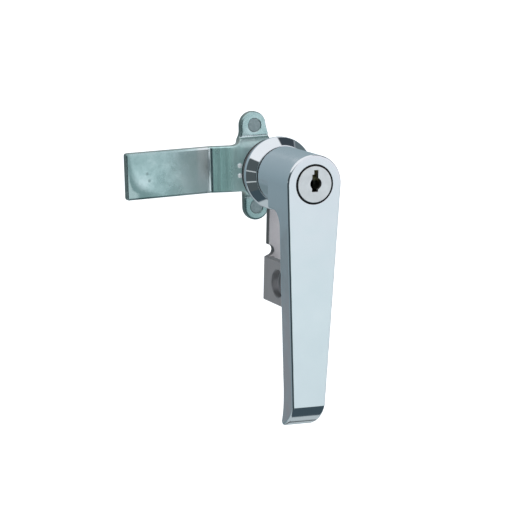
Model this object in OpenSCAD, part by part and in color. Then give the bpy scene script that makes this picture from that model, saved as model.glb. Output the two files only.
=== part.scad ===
// L-handle cabinet lock: keyed lever handle, round base for one door hole,
// stamped latch arm with two rod pins, and a padlock hasp behind the lever.
// Millimetres. +Z up, +Y into the cabinet, origin on the spindle axis at the
// outer face of the door. The handle hangs down (closed), the arm points to -X.

/* [Handle] */
// Distance from the door face to the front face of the handle
handle_reach = 45.6; // [45:0.1:48]
// Radius of the hub and of the rounded top of the handle
hub_r = 13.2; // [12.8:0.1:13.3]
// Distance from the spindle axis to the bottom of the lever tip
lever_len = 112.2; // [108:0.1:120]
// Narrowing of the half width per mm of lever length
lever_taper = 0.05; // [0.04:0.0005:0.06]
// Thickness of the lever, front to back
lever_t = 10.4; // [9.6:0.1:10.8]
// Depth of the block that joins hub and lever
neck_d = 22.4; // [20:0.1:23]
// Radius of the fillet between that block and the back of the lever
neck_r = 7; // [6:0.5:8]
// Depth of the recess cast into the back of the lever
core_depth = 5.6; // [3:0.1:6]

/* [Key cylinder] */
// Radius of the bright cap that carries the keyway
cap_r = 8.2; // [8:0.1:8.4]
// Radius of the cylinder bore in the hub
bore_r = 9; // [9:0.05:9.2]
// Radius of the brass plug
plug_r = 6.95; // [6.9:0.01:6.98]
// Number of wafers
wafer_n = 5; // [3:1:5]
// Pitch of the wafers along the plug
wafer_pitch = 3.6; // [3.4:0.1:3.7]
// Travel of the wafers when the key is drawn
wafer_travel = 0.8; // [0.5:0.1:0.8]
// Travel of the locking bolt for a quarter turn of the key
bolt_travel = 2.5; // [2:0.1:2.5]

/* [Base] */
// Outer radius of the chromed base ring
ring_r = 17; // [16.5:0.1:18]
// Radius of the threaded barrel that goes through the door
barrel_r = 9; // [8.9:0.05:9.1]
// Width across the two flats of the barrel
barrel_flats = 16.4; // [16:0.1:17]
// Gap left for the door sheet between gasket and lock washer
door_t = 2.5; // [2.1:0.1:3.5]

/* [Latch arm] */
// Thickness of the stamped arm
arm_t = 4; // [3.5:0.1:4]
// Distance from the spindle axis to the end of the arm
arm_len = 64.8; // [50:0.1:80]
// Width of the arm
arm_w = 21.9; // [18:0.1:22]
// Set-back of arm and lugs behind the hub of the stamping
joggle = 4; // [3:0.1:5]
// Droop of the arm below horizontal when the lever hangs straight
arm_droop = 2.8; // [0:0.1:4]
// Distance from the spindle axis to each rod pin
pin_pitch_r = 19.4; // [19:0.1:21]
// Radius of the rod pins
rod_pin_r = 3; // [2.5:0.1:3]

/* [Padlock hasp] */
// Thickness of the hasp plate
hasp_t = 3.5; // [3:0.1:3.5]
// Radius of the padlock hole
eye_r = 6.4; // [5:0.1:6.5]
// Height of the padlock hole below the spindle axis
eye_drop = 49.7; // [48:0.1:51]

/* [Hidden] */
$fn = 96;

// stations along the spindle axis
yf = -handle_reach;          // front face of the handle
y_hub = yf + 32.6;           // rear face of the hub
y_ring = y_hub + 1.1;        // front face of the base ring
gasket_t = 1;
y_ringb = -gasket_t - hasp_t; // rear face of the base ring
y_spig = yf + 39.2;          // end of the hub spigot
y_barrel = 10;               // end of the barrel
y_arm = 15.4;                // front face of the arm's hub
y_lug = y_arm + joggle;      // front face of arm and lugs
spig_r = 10;
neck_z = -13.2;              // lower end of the block behind the hub's front
shaft_r = 6.5;
sq = 9;                      // square drive of the arm
pin_z0 = 5.5;                // drive pin of the bolt, above the axis
bolt_y0 = yf + 34.6;
bolt_y1 = yf + 38;
disc_y0 = yf + 30.6;
disc_y1 = yf + 33.6;
eye_y = yf + 28.5;
tab_x = -4.1;                // outer face of the hasp tab
w0 = yf + 5.2;               // front of the first wafer

function taper_w(z) = hub_r * sqrt(1 + lever_taper * lever_taper) + lever_taper * z;
function bez(a, b, c, n) = [for (i = [0:n]) let (t = i / n)
    [for (k = [0:1]) (1-t)*(1-t)*a[k] + 2*t*(1-t)*b[k] + t*t*c[k]]];
function arc(r, a0, a1, n) = [for (i = [0:n]) let (a = a0 + (a1-a0)*i/n) [r*cos(a), r*sin(a)]];

// solids laid along the row axes
module ycyl(r, y0, y1) { translate([0, y1, 0]) rotate([90, 0, 0]) cylinder(r = r, h = y1 - y0); }
module ycone(ra, rb, y0, y1) { translate([0, y0, 0]) rotate([-90, 0, 0]) cylinder(r1 = ra, r2 = rb, h = y1 - y0); }
module yext(y0, y1) { translate([0, y1, 0]) rotate([90, 0, 0]) linear_extrude(y1 - y0) children(); }
module xext(x0, x1) { translate([x0, 0, 0]) rotate([90, 0, 90]) linear_extrude(x1 - x0) children(); }
module yrev() { rotate([-90, 0, 0]) rotate_extrude() children(); }
module ytube(r0, r1, y0, y1) { difference() { ycyl(r1, y0, y1); ycyl(r0, y0 - 1, y1 + 1); } }
module xcyl(r, x0, x1) { translate([x0, 0, 0]) rotate([0, 90, 0]) cylinder(r = r, h = x1 - x0); }
module box(a, b) { translate(a) cube(b - a); }

// ---------- handle ----------
// front outline: round top and straight taper
module lever_outline(bottom) {
    circle(r = hub_r);
    za = -hub_r * sin(atan(lever_taper));
    polygon([[-taper_w(za), za], [taper_w(za), za], [taper_w(-bottom), -bottom], [-taper_w(-bottom), -bottom]]);
}
// side profile in (Y, Z), flat front, tip curling back to the door
module lever_profile() {
    zt = -lever_len;
    tip = bez([0, zt + 10.7], [1.9, zt + 3.8], [11.6, zt], 10);
    nose = bez([11.6, zt], [13.3, zt + 0.4], [13.1, zt + 2.4], 5);
    flare = bez([13.1, zt + 2.4], [10.6, zt + 8.2], [lever_t, zt + 17], 8);
    translate([yf, 0]) polygon(concat([[0, hub_r]], tip, nose, flare, [[lever_t, hub_r]]));
}
module lever_core_cut() {
    // recess in the back of the lever, below the hasp ear
    yext(yf + lever_t - core_depth, yf + lever_t + 6)
        polygon([[-(taper_w(-65) - 2.7), -65], [taper_w(-65) - 2.7, -65],
                 [taper_w(-94) - 2.7, -94], [-(taper_w(-94) - 2.7), -94]]);
}
module handle() {
    color([0.80, 0.82, 0.84])
    difference() {
        union() {
            ycyl(hub_r, yf, y_hub);
            intersection() {
                yext(yf, yf + neck_d) lever_outline(lever_len);
                union() {
                    xext(-hub_r - 1, hub_r + 1) lever_profile();
                    // block behind the hub's front, filleted into the back of the lever
                    xext(-hub_r - 1, hub_r + 1) difference() {
                        translate([yf + lever_t - 2, neck_z - neck_r]) square([neck_d - lever_t + 4, neck_r - neck_z - 2]);
                        translate([yf + lever_t + neck_r - 0.1, neck_z - neck_r]) circle(r = neck_r, $fn = 128);
                        translate([yf + lever_t + neck_r - 0.1, neck_z - neck_r - 1]) square([neck_d, neck_r + 0.95]);
                    }
                }
            }
            ycyl(spig_r, y_hub - 0.5, y_spig);
            ycyl(shaft_r, y_spig - 0.5, y_arm);
            rotate([0, -arm_droop, 0]) box([-sq/2, y_arm - 0.5, -sq/2], [sq/2, y_arm + arm_t - 0.2, sq/2]);
        }
        // cylinder bore, drive disc cavity and the bolt's channel
        ycyl(bore_r, yf - 1, yf + 29);
        ycyl(8.4, yf + 28, yf + 34.5);
        box([-3.1, yf + 34, -spig_r - 1], [3.1, bolt_y1 + 0.1, 7.4]);
        // set screw hole under the hub
        translate([0, yf + 22, 0]) mirror([0, 0, 1]) cylinder(r = 2, h = 14);
        // o-ring groove, stop washer flats, circlip groove
        ytube(5.3, 7.5, yf + 43, yf + 44.8);
        for (s = [-1, 1]) box([s > 0 ? 5.5 : -7.5, y_barrel + 0.1, -7.5], [s > 0 ? 7.5 : -5.5, y_barrel + 1.9, 7.5]);
        ytube(5.7, 7.5, y_barrel + 2.1, y_barrel + 3.1);
        // thread for the arm screw
        ycyl(3, y_arm - 14, y_arm + 10);
        lever_core_cut();
        // tapped holes for the ear screws
        for (z = [-eye_drop - 4.2, -eye_drop + 4.2])
            translate([6.9, 0, z]) ycyl(1.25, yf + lever_t - 5.5, yf + lever_t + 2);
    }
}

// ---------- key cylinder ----------
module keyway2d(grow) {
    translate([-1.28 - grow, -3.3 - grow]) square([2.8 + 2*grow, 7.7 + 2*grow]);
    translate([-0.4 - grow, 3]) square([1.92 + 2*grow, 3.4 + grow]);
    translate([0.5, 0.3]) circle(r = 2.7 + grow, $fn = 64);
}
module cylinder_sleeve() {
    color([0.70, 0.71, 0.72])
    difference() {
        ycyl(bore_r - 0.02, yf + 1.6, yf + 27);
        ycyl(plug_r + 0.05, yf, yf + 28);
        // channels the wafers spring into, at both key positions
        for (a = [0, 90]) rotate([0, a, 0]) box([-3.2, yf + 4, -8], [3.2, yf + 24, 8]);
        translate([0, yf + 22, 0]) mirror([0, 0, 1]) cylinder(r = 1.2, h = 14);
    }
}
module sleeve_set_screw() {
    color([0.25, 0.25, 0.27])
    translate([0, yf + 22, 0]) mirror([0, 0, 1]) difference() {
        union() {
            translate([0, 0, 9.05]) cylinder(r = 1.95, h = 3.4);
            translate([0, 0, 8.3]) cylinder(r = 1.15, h = 1);
        }
        translate([0, 0, 10.8]) cylinder(r = 1, h = 3, $fn = 6);
    }
}
module face_seal_ring() {
    color([0.03, 0.03, 0.035])
    yrev() polygon([[cap_r + 0.08, yf + 0.35], [bore_r - 0.02, yf + 0.35],
                    [bore_r - 0.02, yf + 1.58], [cap_r + 0.08, yf + 1.58]]);
}
module plug_cap() {
    color([0.80, 0.80, 0.79])
    difference() {
        union() {
            ycyl(cap_r, yf - 0.1, yf + 1.4);
            ycone(cap_r - 0.25, cap_r, yf - 0.3, yf - 0.1);
        }
        yext(yf - 2, yf + 2) keyway2d(0);
    }
}
module plug_core() {
    color([0.72, 0.60, 0.30])
    difference() {
        union() {
            ycyl(plug_r, yf + 1.4, yf + 28.4);
            box([-2.6, yf + 28, -2.6], [2.6, disc_y0 + 1.1, 2.6]);
        }
        yext(yf + 1, yf + 25) keyway2d(0.1);
        for (i = [0:wafer_n - 1]) let (y = w0 + i * wafer_pitch) {
            box([-3.1, y - 0.1, -8], [3.1, y + 1.3, 8]);
            box([3, y - 0.1, 0], [5.2, y + 1.3, 3]);
            translate([4.1, y + 0.6, 0.2]) cylinder(r = 0.95, h = 4.8);
        }
        // groove for the plug clip
        ytube(5.6, 8, yf + 27.05, yf + 27.95);
    }
}
module wafer(y) {
    difference() {
        union() {
            intersection() {
                yext(y, y + 1.2) square([6, 20], center = true);
                ycyl(6.75, y - 1, y + 2);
            }
            box([2.9, y, 1], [5, y + 1.2, 2.5]);
        }
        yext(y - 1, y + 2) translate([-1.7, -4.3]) square([3.5, 9.4]);
    }
}
module wafers() {
    color([0.78, 0.66, 0.34]) for (i = [0:wafer_n - 1]) wafer(w0 + i * wafer_pitch);
}
// coil spring as one swept tube: mean radius, wire radius, turns, height
module coil(rm, rw, turns, h, seg, sides) {
    n = turns * seg;
    pts = [for (i = [0:n]) let (a = 360 * i / seg, z = rw + (h - 2*rw) * i / n)
           for (j = [0:sides-1]) let (b = 360 * j / sides, r = rm + rw * cos(b))
           [r * cos(a), r * sin(a), z + rw * sin(b)]];
    faces = concat(
        [[for (j = [0:sides-1]) j]],
        [[for (j = [sides-1:-1:0]) n * sides + j]],
        [for (i = [0:n-1]) for (j = [0:sides-1]) let (k = (j+1) % sides)
            each [[i*sides + j, (i+1)*sides + j, (i+1)*sides + k], [i*sides + j, (i+1)*sides + k, i*sides + k]]]);
    polyhedron(points = pts, faces = faces, convexity = 6);
}
module wafer_springs() {
    color([0.75, 0.76, 0.78])
    for (i = [0:wafer_n - 1])
        translate([4.1, w0 + i * wafer_pitch + 0.6, 2.52]) coil(0.6, 0.13, 3, 2.42, 12, 6);
}
module plug_clip() {
    color([0.30, 0.31, 0.33])
    difference() {
        ytube(5.65, 8.1, yf + 27.1, yf + 27.9);
        box([-3.2, yf + 26, 0], [3.2, yf + 29, 12]);
    }
}
module drive_disc() {
    // spiral slot: its radius at the pin falls in proportion to the key's turn
    function spiral(f) = (pin_z0 - bolt_travel * f / 90) * [-sin(f), cos(f)];
    function side(f) = let (d = spiral(f + 0.5) - spiral(f - 0.5)) [-d[1], d[0]] / norm(d);
    hw = 1.35;
    color([0.62, 0.63, 0.65])
    difference() {
        ycyl(7.9, disc_y0, disc_y1);
        box([-2.65, disc_y0 - 1, -2.65], [2.65, disc_y0 + 1.2, 2.65]);
        yext(disc_y0 + 1.2, disc_y1 + 1) {
            polygon(concat([for (f = [0:5:90]) spiral(f) + hw * side(f)], [for (f = [90:-5:0]) spiral(f) - hw * side(f)]));
            for (f = [0, 90]) translate(spiral(f)) circle(r = hw + 0.03, $fn = 48);
        }
    }
}
module lock_bolt() {
    color([0.66, 0.67, 0.69])
    union() {
        intersection() {
            box([-3, bolt_y0, -spig_r], [3, bolt_y1, 7.2]);
            ycyl(9.8, bolt_y0 - 1, bolt_y1 + 1);
        }
        translate([0, 0, pin_z0]) ycyl(1.2, disc_y0 + 1.5, bolt_y0 + 0.5);
    }
}

// ---------- shaft hardware ----------
module shaft_o_ring() {
    color([0.03, 0.03, 0.035])
    rotate([-90, 0, 0]) translate([0, 0, yf + 43.9]) rotate_extrude() translate([5.92, 0]) circle(r = 0.6, $fn = 32);
}
module stop_washer() {
    color([0.70, 0.72, 0.70])
    difference() {
        yext(y_barrel + 0.2, y_barrel + 1.8) {
            circle(r = 7.2);
            polygon(concat([[0, 0]], arc(8.8, -30, 30, 12)));
        }
        intersection() {
            ycyl(shaft_r + 0.03, 0, 20);
            box([-5.53, 0, -9], [5.53, 20, 9]);
        }
    }
}
module shaft_circlip() {
    color([0.30, 0.31, 0.33])
    difference() {
        ytube(5.75, 8.3, y_barrel + 2.15, y_barrel + 3.05);
        rotate([0, 30, 0]) box([-2.6, y_barrel, 0], [2.6, y_barrel + 5, 12]);
    }
}

// ---------- latch arm ----------
module arm_plan() {
    hw = arm_w / 2;
    lug_z = 15;                 // start of the taper of the lugs
    circle(r = 12.2);
    translate([-arm_len + 1.2, -hw]) square([arm_len - 1.2, arm_w]);
    translate([-arm_len, -hw + 1.2]) square([arm_len, arm_w - 2.4]);
    for (t = [-1, 1]) translate([-arm_len + 1.2, t * (hw - 1.2)]) circle(r = 1.2, $fn = 32);
    // upper lug, then lower lug: left edge le, corner fillet fr, round end er
    for (s = [0, 1]) let (le = s ? -6.2 : -7, fr = s ? 2.6 : 6.4, er = s ? 6.3 : 6.5) mirror([0, s]) {
        polygon([[le, 0], [7.2, 0], [7.1, lug_z], [5.9, pin_pitch_r + 0.4], [le + 0.1, pin_pitch_r + 0.6]]);
        translate([le + er, pin_pitch_r + 0.1]) circle(r = er);
        difference() {
            polygon([[le + 1, 0], [le + 1, hw + fr], [le - 0.02, hw + fr], [le - 0.05 - fr, hw], [le - 0.05 - fr, 0]]);
            translate([le - 0.05 - fr, hw + fr]) circle(r = fr);
        }
    }
}
// joggled strip: section along one direction, from the hub outwards
module joggle_section(end, crease, hub_edge) {
    polygon([[0, y_arm], [hub_edge, y_arm], [crease, y_lug], [end, y_lug], [end, y_lug + arm_t],
             [crease - 0.35 * joggle, y_lug + arm_t], [hub_edge - 0.35 * joggle, y_arm + arm_t], [0, y_arm + arm_t]]);
}
module lug_section() { mirror([1, -1]) joggle_section(30, 14.1, 11.05); }
module latch_arm_flat() {
    hw = arm_w / 2;
    intersection() {
        yext(y_arm - 1, y_lug + arm_t + 1) arm_plan();
        union() {
            // arm to the left
            translate([0, 0, -hw - 0.2]) mirror([1, 0, 0]) linear_extrude(arm_w + 0.4) joggle_section(arm_len + 2, 22.9, 11);
            // rounded hub to the right
            intersection() {
                ycyl(12.2, y_arm, y_arm + arm_t);
                box([-20, 0, -10.5], [20, 40, 10.5]);
            }
            // lugs, up and down, with the corners beside the arm
            for (s = [0, 1]) mirror([0, 0, s]) {
                xext(-7.25, 7.25) lug_section();
                intersection() {
                    xext(-14, -7.2) lug_section();
                    box([-20, 0, hw - 0.1], [0, 40, 30]);
                }
            }
        }
    }
}
module latch_arm() {
    color([0.58, 0.70, 0.68])
    rotate([0, -arm_droop, 0])
    difference() {
        latch_arm_flat();
        box([-sq/2 - 0.1, 0, -sq/2 - 0.1], [sq/2 + 0.1, 40, sq/2 + 0.1]);
        for (s = [-1, 1]) translate([0, 0, s * pin_pitch_r]) ycyl(3.2, y_lug - 2, y_lug + arm_t + 2);
    }
}
module rod_pins() {
    color([0.50, 0.56, 0.56])
    rotate([0, -arm_droop, 0]) for (s = [-1, 1]) translate([0, 0, s * pin_pitch_r]) difference() {
        union() {
            ycyl(3.18, y_lug + 0.4, y_lug + arm_t + 0.5);
            ycyl(4.6, y_lug + arm_t, y_lug + arm_t + 1);
            ycyl(rod_pin_r, y_lug + arm_t + 0.8, y_lug + arm_t + 5.8);
            ycone(rod_pin_r, rod_pin_r - 0.5, y_lug + arm_t + 5.8, y_lug + arm_t + 6.3);
        }
        translate([0, y_lug + arm_t + 4.8, 0]) xcyl(0.6, -5, 5);
    }
}
module arm_washer() {
    color([0.70, 0.74, 0.73]) ytube(3.2, 8.5, y_arm + arm_t, y_arm + arm_t + 1.2);
}
module arm_spring_washer() {
    y = y_arm + arm_t + 1.2;
    color([0.55, 0.57, 0.57])
    difference() {
        ytube(3.1, 5.6, y, y + 1.5);
        rotate([0, 40, 0]) box([-0.35, y - 1, 0], [0.35, y + 3, 9]);
    }
}
module arm_screw() {
    y = y_arm + arm_t + 2.7;
    color([0.70, 0.74, 0.73])
    difference() {
        union() {
            yext(y, y + 4) circle(r = 5.77, $fn = 6);
            ycyl(2.95, y_arm - 10, y + 0.5);
        }
        // chamfered head
        difference() {
            ycyl(8, y + 3, y + 5);
            ycone(5.9, 4.6, y + 3, y + 4.3);
        }
    }
}

// ---------- padlock hasp ----------
module padlock_ear() {
    x0 = tab_x + hasp_t + 0.4;
    x1 = x0 + 4.5;
    yb = yf + lever_t;
    color([0.60, 0.60, 0.61])
    difference() {
        union() {
            translate([0, eye_y, -eye_drop]) xcyl(9.1, x0, x1);
            box([x0, yb, -eye_drop - 9.1], [x1, eye_y, -eye_drop + 9.1]);
            box([x0, yb, -eye_drop - 9.1], [9.2, yb + 2.6, -eye_drop + 9.1]);
        }
        translate([0, eye_y, -eye_drop]) xcyl(eye_r, x0 - 1, x1 + 1);
        for (z = [-eye_drop - 4.2, -eye_drop + 4.2]) translate([6.9, 0, z]) ycyl(1.6, yb - 1, yb + 4);
    }
}
module ear_screws() {
    yb = yf + lever_t + 2.6;
    color([0.66, 0.70, 0.69])
    for (z = [-eye_drop - 4.2, -eye_drop + 4.2]) translate([6.9, 0, z]) difference() {
        union() {
            ycyl(1.2, yb - 7, yb + 0.3);
            ycyl(2.05, yb, yb + 1.5);
        }
        for (a = [0, 90]) rotate([0, a, 0]) box([-1.2, yb + 0.8, -0.28], [1.2, yb + 3, 0.28]);
    }
}
module hasp_plate() {
    y0 = y_ringb;
    y1 = -gasket_t;
    zb = -eye_drop - 10;
    zt = -eye_drop + 10.4;
    color([0.62, 0.61, 0.62])
    difference() {
        union() {
            yext(y0, y1) {
                circle(r = 15.6);
                translate([tab_x + 1.2, zb]) square([12.1, -zb]);
                translate([tab_x, zb]) square([4, zt - zb]);
            }
            // tab bent forward off the strip
            xext(tab_x, tab_x + hasp_t) difference() {
                translate([yf + 16.8, zb]) square([y1 - yf - 16.8, zt - zb]);
                for (s = [0, 1]) translate([yf + 16.8, s ? zt : zb]) rotate(s ? -90 : 0)
                    difference() { translate([-1, -1]) square([5, 5]); translate([4, 4]) circle(r = 4); }
            }
        }
        // bend relief beside the strip
        translate([tab_x + 1, 0, -eye_drop + 13.45]) ycyl(2.65, y0 - 1, y1 + 1);
        // keyed hole for the barrel
        intersection() {
            ycyl(barrel_r + 0.15, y0 - 1, y1 + 1);
            box([-barrel_flats/2 - 0.15, -20, -20], [barrel_flats/2 + 0.15, 20, 20]);
        }
        translate([0, eye_y, -eye_drop]) xcyl(eye_r, tab_x - 1, tab_x + hasp_t + 1);
    }
}

// ---------- base ----------
module base_housing() {
    lug_gap = 90 + 60 + 2;      // open sector for the stop washer's lug
    color([0.82, 0.84, 0.86])
    difference() {
        union() {
            yrev() polygon([[spig_r + 0.1, y_ring], [hub_r + 0.25, y_ring], [ring_r, y_ringb - 3.1], [ring_r, y_ringb - 1.3],
                            [ring_r - 1.1, y_ringb], [6, y_ringb], [6, y_spig + 0.2], [spig_r + 0.1, y_spig + 0.2]]);
            intersection() {
                ycyl(barrel_r, y_ringb - 0.5, y_barrel);
                box([-barrel_flats/2, -20, -20], [barrel_flats/2, 20, 20]);
            }
            // crescent that stops the handle after a quarter turn
            intersection() {
                ytube(7.4, barrel_r, y_barrel - 0.5, y_barrel + 1.6);
                box([-barrel_flats/2, -20, -20], [barrel_flats/2, 20, 20]);
                yext(y_barrel - 1, y_barrel + 3) polygon(concat([[0, 0]], arc(20, 121, 121 + 360 - lug_gap, 24)));
            }
        }
        ycyl(shaft_r + 0.05, -20, 30);
        // pockets for the locking bolt, one every quarter turn
        for (a = [0:90:270]) rotate([0, a, 0]) box([-3.2, bolt_y0 - 0.2, -12.6], [3.2, bolt_y1 + 0.2, -8]);
    }
}
module thrust_washer() {
    color([0.05, 0.05, 0.055]) ytube(spig_r + 0.1, hub_r - 0.35, y_hub + 0.05, y_ring - 0.05);
}
module door_gasket() {
    color([0.08, 0.08, 0.085]) ytube(barrel_r + 0.2, 15.6, -gasket_t, 0);
}
module lock_washer() {
    color([0.62, 0.64, 0.64])
    difference() {
        ytube(barrel_r + 0.1, 11.6, door_t, door_t + 1);
        for (i = [0:11]) rotate([0, i * 30, 0]) translate([0, 0, 11.9]) ycyl(0.9, door_t - 1, door_t + 2);
    }
}
module ring_nut() {
    color([0.66, 0.70, 0.69])
    difference() {
        union() {
            ycyl(12, door_t + 1, door_t + 5);
            ycone(12, 11.4, door_t + 5, door_t + 5.6);
        }
        ycyl(barrel_r + 0.03, 0, 20);
        for (i = [0:3]) rotate([0, 45 + i * 90, 0]) box([-1.6, 0, 10.6], [1.6, 20, 14]);
    }
}

handle();
cylinder_sleeve();
sleeve_set_screw();
face_seal_ring();
shaft_o_ring();
stop_washer();
shaft_circlip();
latch_arm();
rod_pins();
arm_screw();
arm_washer();
arm_spring_washer();
padlock_ear();
ear_screws();
plug_cap();
plug_core();
plug_clip();
drive_disc();
wafer_springs();
wafers();
lock_bolt();
base_housing();
thrust_washer();
hasp_plate();
door_gasket();
lock_washer();
ring_nut();
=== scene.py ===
import math

import bmesh
import bpy
import numpy as np
from mathutils import Matrix, Vector


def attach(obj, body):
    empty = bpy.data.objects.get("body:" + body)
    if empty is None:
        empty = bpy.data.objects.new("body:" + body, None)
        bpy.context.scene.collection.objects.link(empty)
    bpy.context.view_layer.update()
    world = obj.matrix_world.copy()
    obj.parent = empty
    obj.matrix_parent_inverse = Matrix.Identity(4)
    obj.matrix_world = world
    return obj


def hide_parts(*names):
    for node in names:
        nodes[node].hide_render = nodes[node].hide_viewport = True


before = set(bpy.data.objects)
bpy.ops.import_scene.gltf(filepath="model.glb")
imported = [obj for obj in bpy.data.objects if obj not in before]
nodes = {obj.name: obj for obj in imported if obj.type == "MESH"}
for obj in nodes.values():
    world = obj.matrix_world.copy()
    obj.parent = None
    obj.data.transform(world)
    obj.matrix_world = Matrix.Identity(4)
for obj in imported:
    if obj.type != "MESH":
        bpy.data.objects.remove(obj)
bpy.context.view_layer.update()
scene = bpy.context.scene

# ------------------------------------------------------------------ measures
# millimetres in the row frame; d is the depth behind the handle's front face
YF = -45.6
HUB_R = 13.2
TAPER = 0.05
LEVER_T = 10.4
ZT = -112.2
NECK, NECK_D, NECK_Z = 7.0, 22.4, -13.2
DROOP = math.radians(-2.8)
EYE_Y, EYE_Z, EYE_R = YF + 28.5, -49.7, 6.4
LEAN = math.sqrt(1 + TAPER * TAPER)
PIPS = ((-9.8, 1.5), (-9.8, -3.2))


# ------------------------------------------------------- distance field tools
def cut(a, b, r):
    """Both a and b, with a rounded edge of radius r."""
    u, v = np.maximum(a + r, 0), np.maximum(b + r, 0)
    return np.minimum(np.maximum(a, b), -r) + np.sqrt(u * u + v * v)


def join(a, b, r):
    """a or b, with a fillet of radius r in the corner between them."""
    u, v = np.maximum(r - a, 0), np.maximum(r - b, 0)
    return np.maximum(np.minimum(a, b), r) - np.sqrt(u * u + v * v)


def less(a, b, r):
    """a without b, with a rounded edge."""
    return cut(a, -b, r)


def span(v, lo, hi):
    return np.maximum(lo - v, v - hi)


def rect(u, v, u0, u1, v0, v1, r=0.0):
    """Rounded rectangle in two coordinates."""
    a = np.abs(u - (u0 + u1) / 2) - (u1 - u0) / 2 + r
    b = np.abs(v - (v0 + v1) / 2) - (v1 - v0) / 2 + r
    return np.sqrt(np.maximum(a, 0) ** 2 + np.maximum(b, 0) ** 2) + np.minimum(np.maximum(a, b), 0) - r


def soft_step(t, w):
    """0 below, t above, with a rounded bend of half length w."""
    return np.where(t < -w, 0, np.where(t > w, t, (t + w) ** 2 / (4 * w)))


def soft_ramp(u, a, b, rise, wa, wb):
    """Rises from 0 at a to rise at b, with rounded bends of half lengths wa and wb."""
    return rise / (b - a) * (soft_step(u - a, wa) - soft_step(u - b, wb))


def swell(u, mid, wide, high):
    return high * np.exp(-((u - mid) / wide) ** 2)


def polygon_distance(px, py, pts):
    """Signed distance to a closed polygon, negative inside."""
    best = np.full(np.broadcast(px, py).shape, 1e9)
    sign = np.ones(best.shape)
    n = len(pts)
    for i in range(n):
        x0, y0 = pts[i]
        x1, y1 = pts[i - 1]
        ex, ey = x1 - x0, y1 - y0
        wx, wy = px - x0, py - y0
        t = np.clip((wx * ex + wy * ey) / (ex * ex + ey * ey), 0, 1)
        bx, by = wx - ex * t, wy - ey * t
        best = np.minimum(best, bx * bx + by * by)
        c1, c2, c3 = py >= y0, py < y1, ex * wy > ey * wx
        sign = np.where((c1 & c2 & c3) | (~c1 & ~c2 & ~c3), -sign, sign)
    return sign * np.sqrt(best)


def bezier(a, b, c, n):
    return [tuple((1 - t) ** 2 * a[k] + 2 * t * (1 - t) * b[k] + t * t * c[k] for k in (0, 1)) for t in [i / n for i in range(n + 1)]]


def slopes(f, p, e=0.01):
    g = np.empty_like(p)
    for k in range(3):
        q = p.copy()
        q[:, k] += e
        s = p.copy()
        s[:, k] -= e
        g[:, k] = (f(q[:, 0], q[:, 1], q[:, 2]) - f(s[:, 0], s[:, 1], s[:, 2])) / (2 * e)
    return g


def nets(f, lo, hi, h):
    """Quads over the zero level of f on a grid of step h, each point drawn onto the surface."""
    lo = np.array(lo, float)
    n = [int(math.ceil((b - a) / h)) + 1 for a, b in zip(lo, hi)]
    ax = [lo[k] + h * np.arange(n[k]) for k in range(3)]
    v = np.ascontiguousarray(np.broadcast_to(f(ax[0][:, None, None], ax[1][None, :, None], ax[2][None, None, :]), n))
    inside = v < 0
    cells = tuple(k - 1 for k in n)
    total = np.zeros((cells[0] * cells[1] * cells[2], 3))
    count = np.zeros(len(total))
    rings = []
    for k in range(3):
        a, b = (k + 1) % 3, (k + 2) % 3
        s0, s1 = [slice(None)] * 3, [slice(None)] * 3
        s0[k], s1[k] = slice(0, -1), slice(1, None)
        change = inside[tuple(s0)] != inside[tuple(s1)]
        at = np.argwhere(change)
        v0, v1 = v[tuple(s0)][change], v[tuple(s1)][change]
        p = at.astype(float)
        p[:, k] += v0 / (v0 - v1)
        ring = []
        for da, db in ((0, 0), (1, 0), (1, 1), (0, 1)):
            c = at.copy()
            c[:, a] -= da
            c[:, b] -= db
            ids = np.ravel_multi_index(c.T, cells)
            for m in range(3):
                total[:, m] += np.bincount(ids, p[:, m], len(total))
            count += np.bincount(ids, minlength=len(total))
            ring.append(ids)
        ring = np.stack(ring, 1)
        out = inside[tuple(s0)][change]
        ring[~out] = ring[~out][:, ::-1]
        rings.append(ring)
    rings = np.concatenate(rings)
    used = np.flatnonzero(count)
    index = np.zeros(len(total), int)
    index[used] = np.arange(len(used))
    p = lo + h * total[used] / count[used][:, None]
    start = p.copy()
    for _ in range(4):
        g = slopes(f, p)
        d = f(p[:, 0], p[:, 1], p[:, 2])
        step = np.clip(d / np.maximum((g * g).sum(1), 0.3), -h, h)[:, None] * g
        p = start + np.clip(p - step - start, -0.55 * h, 0.55 * h)
    return p, index[rings]


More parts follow.
